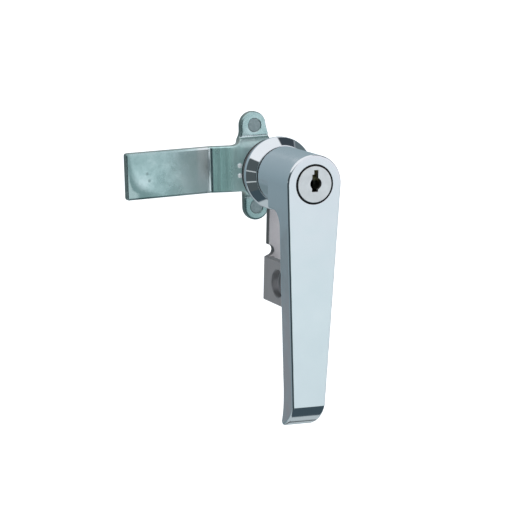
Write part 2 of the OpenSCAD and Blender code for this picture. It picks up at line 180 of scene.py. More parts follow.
def skin(name, f, lo, hi, h, flat=0.12, turn=None, fine=None):
    """A closed mesh of the solid f < 0, flat areas joined to large faces, with its true normals."""
    p, quads = nets(f, lo, hi, h)
    bm = bmesh.new()
    vs = [bm.verts.new(q) for q in p]
    for q in quads:
        if len(set(q)) == 4:
            bm.faces.new([vs[i] for i in q])
    bm.verts.index_update()
    if fine is not None:
        # cut the net finer along a sharp edge and draw it onto the surface again
        near = fine(*p.T)
        edges = [e for e in bm.edges if near[e.verts[0].index] and near[e.verts[1].index]]
        bmesh.ops.subdivide_edges(bm, edges=edges, cuts=3, use_grid_fill=True)
        bm.verts.index_update()
        p = np.array([q.co for q in bm.verts], float)
        pick = np.flatnonzero(fine(*p.T))
        q = p[pick]
        for _ in range(6):
            g = slopes(f, q)
            q = q - np.clip(f(q[:, 0], q[:, 1], q[:, 2]) / np.maximum((g * g).sum(1), 0.3), -0.1, 0.1)[:, None] * g
        bm.verts.ensure_lookup_table()
        for i, c in zip(pick, q):
            bm.verts[i].co = c
    else:
        bmesh.ops.dissolve_limit(bm, angle_limit=math.radians(flat), use_dissolve_boundaries=False, verts=bm.verts, edges=bm.edges)
    loose = [q for q in bm.verts if not q.link_faces]
    bmesh.ops.delete(bm, geom=loose, context="VERTS")
    me = bpy.data.meshes.new(name)
    bm.to_mesh(me)
    bm.free()
    p = np.array([q.co for q in me.vertices], float).reshape(-1, 3)
    g = slopes(f, p, 0.02)
    g /= np.maximum(np.linalg.norm(g, axis=1), 1e-9)[:, None]
    if turn is not None:
        t = np.array(turn.to_3x3(), float)
        p, g = p @ t.T, g @ t.T
    me.vertices.foreach_set("co", (p * 0.001).astype(np.float32).ravel())
    me.polygons.foreach_set("use_smooth", np.ones(len(me.polygons), bool))
    me.update()
    me.normals_split_custom_set_from_vertices([tuple(q) for q in g])
    ob = bpy.data.objects.new(name, me)
    scene.collection.objects.link(ob)
    return ob


# ----------------------------------------------------------------- the shapes
def outline(x, z):
    """Front outline of the handle: round top and straight taper."""
    ax = np.abs(x)
    along = (ax * TAPER + z) / LEAN
    return np.where(along > 0, np.sqrt(x * x + z * z) - HUB_R, (ax - TAPER * z) / LEAN - HUB_R)


PROFILE = ([(0.0, 30.0), (0.0, ZT + 14)] + bezier((0.0, ZT + 10.7), (1.9, ZT + 3.8), (11.6, ZT), 26)
           + bezier((11.6, ZT), (13.3, ZT + 0.4), (13.1, ZT + 2.4), 10)[1:]
           + bezier((13.1, ZT + 2.4), (10.6, ZT + 8.2), (LEVER_T, ZT + 17), 20)[1:] + [(LEVER_T, 30.0)])


def handle(x, y, z):
    d = y - YF
    rho = np.sqrt(x * x + z * z)
    side = outline(x, z) + 0 * d
    lever = cut(side, polygon_distance(d + 0 * z, z + 0 * d, PROFILE), 1.05)
    hub = cut(rho - HUB_R, span(d, 3, 32.6), 0.2)
    mid = LEVER_T + NECK - 0.1
    bend = NECK - np.sqrt((d - mid) ** 2 + (z - NECK_Z + NECK) ** 2)
    bend = np.where(z > NECK_Z - NECK, np.where(d > mid, NECK_Z - z, bend), d - LEVER_T + 0.1)
    back = cut(bend, d - NECK_D, 0.8)
    neck = np.maximum(np.maximum(cut(side, back, 0.9), 5 - d), np.maximum(z + 0.5, -45 - z))
    body = np.minimum(np.minimum(lever, hub), neck)
    # bore of the key cylinder, chamber behind it, channel of the bolt
    body = less(body, np.maximum(rho - 9, d - 29), 0.14)
    body = np.maximum(body, -np.maximum(rho - 8.4, span(d, 28, 34.5)))
    # recess in the back of the lever
    pan = cut(side + 2.7, span(z, -94, -65), 3)
    body = less(body, cut(pan, LEVER_T - 5.6 - d, 1.4), 0.5)
    # spigot, spindle and square
    body = np.minimum(body, cut(rho - 10, span(d, 31, 39.2), 0.4))
    spindle = cut(rho - 6.5, span(d, 38, 61), 0.3)
    spindle = np.maximum(spindle, -np.maximum(5.3 - rho, span(d, 43, 44.8)))
    spindle = np.maximum(spindle, -np.maximum(5.7 - rho, span(d, 57.7, 58.7)))
    spindle = np.maximum(spindle, -np.maximum(5.5 - np.abs(x), span(d, 55.7, 57.5)))
    c, s = math.cos(DROOP), math.sin(DROOP)
    tang = cut(rect(x * c - z * s, x * s + z * c, -4.5, 4.5, -4.5, 4.5, 0.3), span(d, 60, 64.8), 0.3)
    body = np.minimum(np.minimum(body, spindle), tang)
    body = np.maximum(body, -np.maximum(rho - 8.4, span(d, 28, 34.5)))
    body = np.maximum(body, -np.maximum(rect(x, z, -3.1, 3.1, -11, 7.4), span(d, 34, 38.1)))
    body = np.maximum(body, -np.maximum(rho - 3, 47 - d))
    # set screw hole under the hub
    return less(body, np.maximum(np.sqrt(x * x + (d - 22) ** 2) - 2, span(z, -20, 0)), 0.3)


def bore_edge(x, y, z):
    return (np.abs(np.sqrt(x * x + z * z) - 9) < 1.1) & (y < YF + 1.3)


def base(x, y, z):
    rho = np.sqrt(x * x + z * z)
    cone = ((rho - 13.45) * 4.3 - (y + 11.9) * 3.55) / 5.576
    ring = cut(cone, rho - 17, 0.3)
    ring = cut(ring, ((rho - 17) * 1.3 + (y + 5.8) * 1.1) / 1.703, 0.2)
    ring = cut(ring, -11.9 - y, 0.15)
    ring = cut(ring, y + 4.5, 0.25)
    turn = np.arctan2(z, x) / (2 * math.pi)
    saw = np.abs(((y / 1.5 - turn) % 1.0) * 2 - 1)
    groove = 0.72 * np.clip(1.25 * saw - 0.12, 0, 1) * np.clip((y + 0.6) / 0.8, 0, 1)
    barrel = (rho - 9 + groove) * 0.72
    barrel = cut(barrel, np.abs(x) - 8.2, 0.15)
    barrel = cut(barrel, y - 10, 0.5)
    barrel = np.maximum(barrel, -6 - y)
    a0, a1 = math.radians(121), math.radians(329)
    wedge = np.maximum(-(math.cos(a1) * z - math.sin(a1) * x), -(x * math.sin(a0) - z * math.cos(a0)))
    stop = cut(cut(np.maximum(7.4 - rho, rho - 9), np.abs(x) - 8.2, 0.1), span(y, 9.5, 11.6), 0.25)
    stop = np.maximum(stop, -wedge)
    body = np.minimum(np.minimum(ring, barrel), stop)
    body = less(body, np.maximum(rho - 10.1, y + 6.2), 0.3)
    body = np.maximum(body, 6.55 - rho)
    for u, v in ((x, z), (z, x)):
        body = np.maximum(body, -np.maximum(np.maximum(np.abs(u) - 3.2, span(np.abs(v), 8, 12.6)), span(y, -11.2, -7.4)))
    return body


def cap(x, y, z):
    d = y - YF
    rho = np.sqrt(x * x + z * z)
    key = np.minimum(rect(x, z, -1.28, 1.52, -3.3, 4.4, 0.1), rect(x, z, -0.4, 1.52, 3, 6.4, 0.1))
    key = join(key, np.sqrt((x - 0.5) ** 2 + (z - 0.3) ** 2) - 2.7, 0.15)
    return less(cut(rho - 8.2, span(d, -0.3, 1.4), 0.22), key, 0.12)


def arm(x, y, z):
    az = np.abs(z)
    rho = np.sqrt(x * x + z * z)
    strip = rect(x, z, -64.8, 2, -10.95, 10.95, 1.2)
    plate = np.minimum(strip, np.maximum(rho - 12.2, az - 10.95))
    lean = np.where(az < 15, x - 7.15, (x - 7.1 + (az - 15) * 0.25) / 1.031)
    edge, end = np.where(z > 0, -7.0, -6.2), np.where(z > 0, 6.5, 6.3)
    lug = np.minimum(cut(np.maximum(edge - x, lean), az - 19.8, 0.3), np.sqrt((x - edge - end) ** 2 + (az - 19.5) ** 2) - end)
    plan = join(plate, lug, np.where(x < 0, np.where(z > 0, 6.4, 2.6), 1.5))
    # the joggles of arm and lugs run into each other in the corners
    ends = np.clip((11.5 + x) / 4, 0, 1)
    ends = ends * ends * (3 - 2 * ends)
    rise_x = soft_ramp(-x, 11.5, 22.9, 4, 4.0, 0.35) + swell(-x, 22.95, 0.5, 0.28)
    rise_z = (soft_ramp(az, 11.2, 14.1, 4, 1.7, 0.35) + swell(az, 14.15, 0.5, 0.28)) * ends
    rear_x = soft_ramp(-x, 9.8, 21.5, 4, 1.2, 0.6)
    rear_z = soft_ramp(az, 9.7, 12.7, 4, 1.2, 0.6) * ends
    front = 15.4 + np.cbrt(rise_x ** 3 + rise_z ** 3)
    rear = 19.4 + np.cbrt(rear_x ** 3 + rear_z ** 3)
    slab = np.maximum(front - y, y - rear) * 0.85
    body = cut(plan, slab, 1.0)
    # two small raised pips beside the hub
    for mx, mz in PIPS:
        body = np.minimum(body, np.sqrt((x - mx) ** 2 + (y - 16.35) ** 2 + (z - mz) ** 2) - 1.45)
    body = np.maximum(body, -rect(x, z, -4.6, 4.6, -4.6, 4.6))
    return less(body, np.sqrt(x * x + (az - 19.4) ** 2) - 3.2, 0.25)


def hasp(x, y, z):
    rho = np.sqrt(x * x + z * z)
    zb, zt = EYE_Z - 10, EYE_Z + 10.4
    upper = np.minimum(rho - 15.6, rect(x, z, -3.2, 9.2, zb + 2, 0))
    notch = np.sqrt((x + 3.1) ** 2 + (z - EYE_Z - 13.45) ** 2) - 2.65
    upper = cut(less(upper, notch, 0.2), span(y, -4.5, -1), 0.3)
    # lower end: strip and tab as one bent section
    strip = rect(x, y, -4.1, 9.2, -4.5, -1, 0.3)
    tab = rect(x, y, -4.1, -0.6, YF + 16.8, -1, 0.35)
    section = np.maximum(join(strip, tab, 1.2), cut(-4.1 - x, y + 1, 0.9))
    lower = cut(section, span(z, zb, zt), 0.4)
    lower = np.maximum(lower, cut(YF + 16.8 - y + 0 * x, span(z, zb, zt), 4))
    body = np.minimum(upper, lower)
    body = np.maximum(body, 9.15 - rho)
    eye = np.maximum(np.sqrt((y - EYE_Y) ** 2 + (z - EYE_Z) ** 2) - EYE_R, x - 3)
    return less(body, eye, 0.45)


def ear(x, y, z):
    yb = YF + LEVER_T
    x0, x1 = -0.2, 4.3
    end = np.minimum(np.sqrt((y - EYE_Y) ** 2 + (z - EYE_Z) ** 2) - 9.1, rect(y, z, yb, EYE_Y, EYE_Z - 9.1, EYE_Z + 9.1))
    wall = cut(end, span(x, x0, x1), 0.45)
    foot = cut(rect(x, z, x0, 9.2, EYE_Z - 9.1, EYE_Z + 9.1, 1.2), span(y, yb, yb + 2.6), 0.35)
    body = join(wall, foot, 0.9)
    body = np.maximum(body, yb - y)
    body = less(body, np.sqrt((y - EYE_Y) ** 2 + (z - EYE_Z) ** 2) - EYE_R, 0.45)
    for dz in (-4.2, 4.2):
        body = np.maximum(body, -np.maximum(np.sqrt((x - 6.9) ** 2 + (z - EYE_Z - dz) ** 2) - 1.6, yb - 1 - y))
    return body


def ear_screws(x, y, z):
    yb = YF + LEVER_T + 2.6
    a = np.abs(z - EYE_Z) - 4.2
    rho = np.sqrt((x - 6.9) ** 2 + a * a)
    shank = cut(rho - 1.2, span(y, yb - 7, yb + 0.3), 0.15)
    head = cut(rho - 2.05, span(y, yb, yb + 3), 0.1)
    dome = np.sqrt(rho * rho + (y - yb + 1.6) ** 2) - 3.1
    head = cut(head, dome, 0.3)
    cross = np.minimum(rect(x - 6.9, a, -1.25, 1.25, -0.28, 0.28), rect(x - 6.9, a, -0.28, 0.28, -1.25, 1.25))
    head = less(head, np.maximum(cross, yb + 0.7 - y), 0.08)
    return np.minimum(shank, head)


def nut(x, y, z):
    rho = np.sqrt(x * x + z * z)
    body = cut(rho - 12, span(y, 3.5, 8.1), 0.45)
    body = less(body, rho - 9.03, 0.25)
    c = math.sqrt(0.5)
    for u, v in ((c * (x + z), c * (z - x)), (c * (z - x), c * (x + z))):
        body = less(body, np.maximum(np.abs(u) - 1.6, 10.6 - np.abs(v)), 0.25)
    return body


def screw(x, y, z):
    y0 = 22.1
    rho = np.sqrt(x * x + z * z)
    c, s = math.cos(math.pi / 3), math.sin(math.pi / 3)
    six = np.maximum(np.abs(z), np.maximum(np.abs(c * z + s * x), np.abs(c * z - s * x))) - 5.0
    head = cut(six, span(y, y0, y0 + 4), 0.12)
    crown = (rho - 5.15 + (y - y0 - 3.6) * 1.7) / 1.972
    head = cut(head, crown, 0.15)
    turn = np.arctan2(z, x) / (2 * math.pi)
    saw = np.abs(((y - turn) % 1.0) * 2 - 1)
    shank = np.maximum((rho - 2.95 + 0.45 * saw) * 0.7, span(y, 5.4, y0 + 0.5))
    return np.minimum(head, shank)


def pins(x, y, z):
    az = np.abs(z) - 19.4
    rho = np.sqrt(x * x + az * az)
    tail = cut(rho - 3.18, span(y, 19.8, 24), 0.3)
    collar = cut(rho - 4.6, span(y, 23.4, 24.4), 0.3)
    body = cut(rho - 3, span(y, 24, 29.7), 0.5)
    body = np.minimum(np.minimum(tail, body), collar)
    return less(body, np.sqrt((y - 28.2) ** 2 + az * az) - 0.6, 0.12)


# ------------------------------------------------------------------ materials
def material(name):
    m = bpy.data.materials.new(name)
    m.use_nodes = True
    t = m.node_tree
    return m, t, t.nodes["Principled BSDF"]


def add(t, kind, **sockets):
    n = t.nodes.new(kind)
    for k, v in sockets.items():
        if k in ("inputs",):
            continue
        setattr(n, k, v)
    return n


def place(t, scale=(1000, 1000, 1000)):
    """Coordinates of the row frame in millimetres."""
    c = t.nodes.new("ShaderNodeTexCoord")
    m = t.nodes.new("ShaderNodeMapping")
    m.inputs["Scale"].default_value = scale
    t.links.new(c.outputs["Object"], m.inputs["Vector"])
    return m.outputs["Vector"]


def noise(t, vec, scale, detail=3.0, rough=0.5):
    n = t.nodes.new("ShaderNodeTexNoise")
    n.inputs["Scale"].default_value = scale
    n.inputs["Detail"].default_value = detail
    n.inputs["Roughness"].default_value = rough
    t.links.new(vec, n.inputs["Vector"])
    return n.outputs["Fac"]


def ramp(t, fac, stops):
    r = t.nodes.new("ShaderNodeValToRGB")
    e = r.color_ramp.elements
    while len(e) < len(stops):
        e.new(0.5)
    for el, (pos, col) in zip(e, stops):
        el.position = pos
        el.color = (*col, 1) if len(col) == 3 else col
    t.links.new(fac, r.inputs["Fac"])
    return r.outputs["Color"]


def remap(t, v, a, b, lo, hi, smooth=False):
    n = t.nodes.new("ShaderNodeMapRange")
    n.interpolation_type = "SMOOTHSTEP" if smooth else "LINEAR"
    for k, val in zip(("From Min", "From Max", "To Min", "To Max"), (a, b, lo, hi)):
        n.inputs[k].default_value = val
    t.links.new(v, n.inputs["Value"])
    return n.outputs["Result"]


def maths(t, op, a, b=None):
    n = t.nodes.new("ShaderNodeMath")
    n.operation = op
    for i, v in enumerate((a, b)):
        if v is None:
            continue
        if isinstance(v, (int, float)):
            n.inputs[i].default_value = v
        else:
            t.links.new(v, n.inputs[i])
    return n.outputs[0]


def blend(t, fac, a, b):
    """Colour a where fac is 0, b where it is 1."""
    n = t.nodes.new("ShaderNodeMix")
    n.data_type = "RGBA"
    t.links.new(fac, n.inputs[0])
    for sock, v in ((n.inputs[6], a), (n.inputs[7], b)):
        if isinstance(v, tuple):
            sock.default_value = (*v, 1)
        else:
            t.links.new(v, sock)
    return n.outputs[2]


def bump(t, b, height, strength, distance):
    n = t.nodes.new("ShaderNodeBump")
    n.inputs["Strength"].default_value = strength
    n.inputs["Distance"].default_value = distance
    t.links.new(height, n.inputs["Height"])
    t.links.new(n.outputs["Normal"], b.inputs["Normal"])


def metal(name, dark, light, scale, r0, r1, metallic=1.0, grain=6.0, lift=0.02, stretch=(1000, 1000, 1000)):
    m, t, b = material(name)
    v = place(t, stretch)
    f = noise(t, v, scale, 4.0, 0.55)
    t.links.new(ramp(t, f, [(0.3, dark), (0.7, light)]), b.inputs["Base Color"])
    g = noise(t, v, grain, 3.0, 0.6)
    t.links.new(remap(t, g, 0.25, 0.75, r0, r1), b.inputs["Roughness"])
    b.inputs["Metallic"].default_value = metallic
    bump(t, b, g, lift, 0.0001)
    return m


def chrome(name, r0, r1):
    m, t, b = material(name)
    v = place(t)
    haze = noise(t, v, 0.06, 3.0, 0.6)
    fine = noise(t, v, 1.6, 3.0, 0.6)
    t.links.new(ramp(t, haze, [(0.3, (0.79, 0.815, 0.835)), (0.7, (0.83, 0.85, 0.865))]), b.inputs["Base Color"])
    t.links.new(remap(t, maths(t, "ADD", maths(t, "MULTIPLY", fine, 0.35), haze), 0.4, 1.0, r0, r1), b.inputs["Roughness"])
    b.inputs["Metallic"].default_value = 1.0
    wave = noise(t, v, 0.11, 1.0, 0.4)
    bump(t, b, wave, 0.06, 0.001)
    return m


def edge_mask(t):
    """1 on the sheared edges of a plate that lies across Y."""
    c = t.nodes.new("ShaderNodeTexCoord")
    sep = t.nodes.new("ShaderNodeSeparateXYZ")
    t.links.new(c.outputs["Normal"], sep.inputs[0])
    return remap(t, maths(t, "ABSOLUTE", sep.outputs["Y"]), 0.25, 0.6, 1, 0, True)


def zinc_arm():
    """Blue zinc on a stamped strip: mottled, with painted light and shade at the free end, the creases, the edges and
    the pips, and drawn lines across the joggle.
    """
    m, t, b = material("blue_zinc_plate")
    c = t.nodes.new("ShaderNodeTexCoord")
    local = t.nodes.new("ShaderNodeMapping")
    local.inputs["Scale"].default_value = (1000, 1000, 1000)
    local.inputs["Rotation"].default_value = (0, -DROOP, 0)
    t.links.new(c.outputs["Object"], local.inputs["Vector"])
    v = local.outputs["Vector"]
    big = noise(t, v, 0.085, 5.0, 0.62)
    spot = noise(t, v, 0.55, 4.0, 0.65)
    mix = maths(t, "ADD", maths(t, "MULTIPLY", big, 0.7), maths(t, "MULTIPLY", spot, 0.3))
    tone = ramp(t, mix, [(0.34, (0.35, 0.51, 0.495)), (0.50, (0.48, 0.65, 0.635)), (0.66, (0.64, 0.79, 0.78))])
    sep = t.nodes.new("ShaderNodeSeparateXYZ")
    t.links.new(v, sep.inputs[0])
    x, y, z = sep.outputs["X"], sep.outputs["Y"], sep.outputs["Z"]
    # greyer towards the joggle
    grey = maths(t, "MULTIPLY", remap(t, x, -50, -26, 0, 0.6, True), remap(t, x, -23, -22, 1, 0, True))
    tone = blend(t, maths(t, "MULTIPLY", grey, remap(t, big, 0.3, 0.7, 0.5, 1.0)), tone, (0.86, 0.96, 0.93))
    # paler just beside the crease
    tone = blend(t, maths(t, "MULTIPLY", maths(t, "MULTIPLY", remap(t, x, -31, -27.5, 0, 0.75, True), remap(t, x, -24.8, -24.2, 1, 0, True)), remap(t, z, -8, 0, 0.2, 1, True)), tone, (1.0, 1.0, 0.98))
    # a little darker along the upper edge
    tone = blend(t, maths(t, "MULTIPLY", remap(t, z, 1, 8, 0, 0.45, True), remap(t, x, -38, -31, 1, 0, True)), tone, (0.30, 0.44, 0.43))
    # painted reflection at the lower corner of the free end: a lighter corner inside a dark curve that fades along the
    # bottom edge
    u, w = maths(t, "ADD", x, 65.4), maths(t, "ADD", z, 11.0)
    corner_reflection = maths(t, "ADD", maths(t, "MULTIPLY", u, w), maths(t, "MULTIPLY", remap(t, spot, 0.3, 0.7, -1, 1), 3.0))
    near = remap(t, x, -56, -44, 1, 0, True)
    tone = blend(t, maths(t, "MULTIPLY", maths(t, "MULTIPLY", remap(t, corner_reflection, 24, 66, 0.95, 0, True), near), remap(t, u, 0.6, 2.4, 0.5, 1.0)), tone, (0.20, 0.31, 0.30))
    tone = blend(t, maths(t, "MULTIPLY", remap(t, corner_reflection, 15, 22, 0.85, 0, True), remap(t, u, 4.5, 7.5, 1, 0, True)), tone, (0.50, 0.63, 0.61))
    # two small pits
    for px, pz in ((-54.6, 0.9), (-53.7, -2.4)):
        a, c2 = maths(t, "ADD", x, -px), maths(t, "ADD", z, -pz)
        far = maths(t, "SQRT", maths(t, "ADD", maths(t, "MULTIPLY", a, a), maths(t, "MULTIPLY", c2, c2)))
        tone = blend(t, remap(t, far, 0.35, 1.1, 0.6, 0, True), tone, (0.17, 0.26, 0.25))
    lines = t.nodes.new("ShaderNodeMapping")
    lines.inputs["Scale"].default_value = (1.0, 0.2, 0.02)
    t.links.new(v, lines.inputs["Vector"])
    draw = noise(t, lines.outputs["Vector"], 0.9, 3.0, 0.6)
    band = maths(t, "MULTIPLY", remap(t, x, -22.9, -22.2, 0, 1, True), remap(t, x, -9.0, -6.0, 1, 0, True))
    band = maths(t, "MULTIPLY", band, remap(t, maths(t, "ABSOLUTE", z), 9.4, 11.6, 1, 0, True))
    tone = blend(t, maths(t, "MULTIPLY", band, remap(t, draw, 0.3, 0.7, 0.2, 0.95)), tone, (0.68, 0.97, 0.93))
    # painted highlight and painted shade along the creases of the arm and the lugs
    crease_light = maths(t, "MULTIPLY", remap(t, maths(t, "ABSOLUTE", z), 10.95, 10.4, 0, 1), remap(t, spot, 0.3, 0.6, 0.6, 1.0))
    tone = blend(t, maths(t, "MULTIPLY", maths(t, "MULTIPLY", remap(t, x, -25.2, -24.4, 0, 0.8, True), remap(t, x, -23.2, -22.9, 1, 0, True)), crease_light), tone, (0.95, 1.0, 0.99))
    tone = blend(t, maths(t, "MULTIPLY", maths(t, "MULTIPLY", remap(t, x, -22.9, -22.7, 0, 0.6, True), remap(t, x, -22.4, -21.8, 1, 0, True)), crease_light), tone, (0.20, 0.31, 0.30))
    height = maths(t, "ABSOLUTE", z)
    across = remap(t, x, -8.4, -7.4, 0, 1)
    tone = blend(t, maths(t, "MULTIPLY", maths(t, "MULTIPLY", remap(t, height, 14.1, 14.4, 0, 0.9, True), remap(t, height, 14.7, 15.2, 1, 0, True)), across), tone, (0.88, 0.97, 0.96))
    tone = blend(t, maths(t, "MULTIPLY", maths(t, "MULTIPLY", remap(t, height, 13.2, 13.5, 0, 0.85, True), remap(t, height, 13.8, 14.15, 1, 0, True)), across), tone, (0.12, 0.22, 0.215))
    # painted shade on the plate towards the hub, fading out under the upper lug
    tone = blend(t, maths(t, "MULTIPLY", remap(t, x, -17, -11, 0, 0.55, True), remap(t, z, 8, 12, 1, 0, True)), tone, (0.20, 0.32, 0.31))
    # painted shade on the sheared edges, which face sideways
    edge = edge_mask(t)
    tone = blend(t, maths(t, "MULTIPLY", edge, remap(t, spot, 0.3, 0.7, 0.7, 0.95)), tone, (0.17, 0.20, 0.175))
    # painted highlights on the tops of the two pips
    shine = None
    for px, pz in PIPS:
        a, c2 = maths(t, "ADD", x, -px), maths(t, "ADD", z, -pz)
        far = maths(t, "SQRT", maths(t, "ADD", maths(t, "MULTIPLY", a, a), maths(t, "MULTIPLY", c2, c2)))
        spot_on = maths(t, "MULTIPLY", remap(t, far, 0.9, 1.3, 1, 0, True), remap(t, y, 18.5, 17.5, 0, 1))
        shine = spot_on if shine is None else maths(t, "MAXIMUM", shine, spot_on)
    tone = blend(t, shine, tone, (0.95, 0.99, 0.99))
    t.links.new(tone, b.inputs["Base Color"])
    t.links.new(maths(t, "ADD", remap(t, mix, 0.3, 0.7, 0.30, 0.19), maths(t, "MULTIPLY", edge, 0.15)), b.inputs["Roughness"])
    t.links.new(maths(t, "MAXIMUM", remap(t, x, -16, -10.5, 0.92, 0.25, True), remap(t, maths(t, "ABSOLUTE", z), 11, 14, 0, 0.92, True)), b.inputs["Metallic"])
    bump(t, b, maths(t, "ADD", spot, maths(t, "MULTIPLY", maths(t, "MULTIPLY", band, draw), 0.8)), 0.08, 0.0002)
    return m


def grey_steel():
    m, t, b = material("matt_grey_steel")
    v = place(t)
    g = noise(t, v, 2.2, 4.0, 0.65)
    big = noise(t, v, 0.12, 3.0, 0.55)
    mix = maths(t, "ADD", maths(t, "MULTIPLY", g, 0.4), maths(t, "MULTIPLY", big, 0.6))
    tone = ramp(t, mix, [(0.35, (0.68, 0.625, 0.625)), (0.65, (0.82, 0.76, 0.76))])
    sep = t.nodes.new("ShaderNodeSeparateXYZ")
    t.links.new(v, sep.inputs[0])
    x, y, z = sep.outputs["X"], sep.outputs["Y"], sep.outputs["Z"]
    # painted shade: the strip a little darker towards the bend, the outer side of the tab darker, its upper edge
    # darkest
    tone = blend(t, maths(t, "MULTIPLY", remap(t, z, -31, -38, 0, 0.3, True), remap(t, y, -6, -5, 0, 1)), tone, (0.40, 0.38, 0.38))
    c = t.nodes.new("ShaderNodeTexCoord")
    facing = t.nodes.new("ShaderNodeSeparateXYZ")
    t.links.new(c.outputs["Normal"], facing.inputs[0])
    below = remap(t, z, -38.9, -39.4, 0, 1, True)
    # painted shade on the left-facing outer side of the tab
    side = maths(t, "MULTIPLY", remap(t, facing.outputs["X"], -0.5, -0.9, 0, 0.85, True), below)
    tone = blend(t, side, tone, (0.37, 0.335, 0.33))
    # painted shade along the upper edge of the tab
    top = maths(t, "MULTIPLY", remap(t, facing.outputs["Z"], 0.35, 0.75, 0, 0.9, True), below)
    tone = blend(t, top, tone, (0.13, 0.12, 0.115))
    # painted shade on the walls of the padlock hole
    dy, dz = maths(t, "ADD", y, -EYE_Y), maths(t, "ADD", z, -EYE_Z)
    off = maths(t, "SQRT", maths(t, "ADD", maths(t, "MULTIPLY", dy, dy), maths(t, "MULTIPLY", dz, dz)))
    tone = blend(t, remap(t, off, EYE_R + 0.42, EYE_R + 0.18, 0, 0.85, True), tone, (0.20, 0.205, 0.21))
    # painted shade on the sheared edges above the tab
    edge = maths(t, "MULTIPLY", edge_mask(t), remap(t, z, -39.6, -38.6, 0, 0.95, True))
    tone = blend(t, edge, tone, (0.10, 0.093, 0.09))
    t.links.new(tone, b.inputs["Base Color"])
    t.links.new(remap(t, g, 0.3, 0.7, 0.36, 0.50), b.inputs["Roughness"])
    b.inputs["Metallic"].default_value = 0.7
    bump(t, b, g, 0.12, 0.00015)
    return m


def brass():
    """Dull brass, with painted shade deeper in the keyway and over its lower, round part."""
    m, t, b = material("brass_plug")
    v = place(t)
    f = noise(t, v, 0.9, 4.0, 0.55)
    g = noise(t, v, 4.0, 3.0, 0.6)
    tone = ramp(t, f, [(0.3, (0.55, 0.53, 0.33)), (0.7, (0.78, 0.75, 0.50))])
    sep = t.nodes.new("ShaderNodeSeparateXYZ")
    t.links.new(v, sep.inputs[0])
    # painted shade deeper in the keyway and in its lower, round part
    tone = blend(t, remap(t, sep.outputs["Y"], -43.5, -36.5, 0.0, 0.5), tone, (0.022, 0.021, 0.014))
    tone = blend(t, remap(t, sep.outputs["Z"], 2.4, 0.4, 0.0, 0.9, True), tone, (0.03, 0.034, 0.036))
    t.links.new(tone, b.inputs["Base Color"])
    t.links.new(remap(t, g, 0.25, 0.75, 0.36, 0.52), b.inputs["Roughness"])
    b.inputs["Metallic"].default_value = 0.9
    bump(t, b, g, 0.02, 0.0001)
    return m


def satin():
    """Turned satin face of the cylinder."""
    m, t, b = material("satin_nickel")
    v = place(t)
    g = noise(t, v, 5.0, 3.0, 0.6)
    big = noise(t, v, 0.25, 3.0, 0.5)
    t.links.new(ramp(t, big, [(0.3, (0.77, 0.77, 0.76)), (0.7, (0.87, 0.87, 0.86))]), b.inputs["Base Color"])
    t.links.new(remap(t, g, 0.3, 0.7, 0.30, 0.42), b.inputs["Roughness"])
    b.inputs["Metallic"].default_value = 1.0
    bump(t, b, g, 0.05, 0.0001)
    return m


def rubber(name, tone, r0, r1):
    m, t, b = material(name)
    v = place(t)
    g = noise(t, v, 4.0, 3.0, 0.6)
    t.links.new(ramp(t, g, [(0.3, tuple(c * 0.7 for c in tone)), (0.7, tuple(c * 1.3 for c in tone))]), b.inputs["Base Color"])
    t.links.new(remap(t, g, 0.3, 0.7, r0, r1), b.inputs["Roughness"])
    b.inputs["Specular IOR Level"].default_value = 0.25
    bump(t, b, g, 0.1, 0.0001)
    return m


M = {
    "chrome": chrome("chrome_plate", 0.07, 0.13),
    "chrome_ring": chrome("chrome_ring", 0.03, 0.075),
    "blue_zinc": zinc_arm(),
    "grey_steel": grey_steel(),
    "satin_nickel": satin(),
    "brass": brass(),
    "zinc_hardware": metal("zinc_hardware", (0.50, 0.55, 0.55), (0.68, 0.72, 0.71), 0.5, 0.24, 0.40, grain=2.5, lift=0.05),
    "pin_steel": metal("riveted_pin", (0.26, 0.33, 0.335), (0.38, 0.45, 0.45), 0.9, 0.32, 0.48, grain=2.5, lift=0.06),
    "spring_steel": metal("spring_steel", (0.22, 0.22, 0.235), (0.32, 0.32, 0.33), 0.8, 0.28, 0.42, grain=3.0, lift=0.05),
    "bright_steel": metal("bright_steel", (0.58, 0.58, 0.59), (0.70, 0.70, 0.70), 0.6, 0.20, 0.34, grain=3.0),
    "black_rubber": rubber("black_rubber", (0.008, 0.008, 0.009), 0.5, 0.7),
    "black_acetal": rubber("black_acetal", (0.022, 0.022, 0.024), 0.32, 0.45),
}

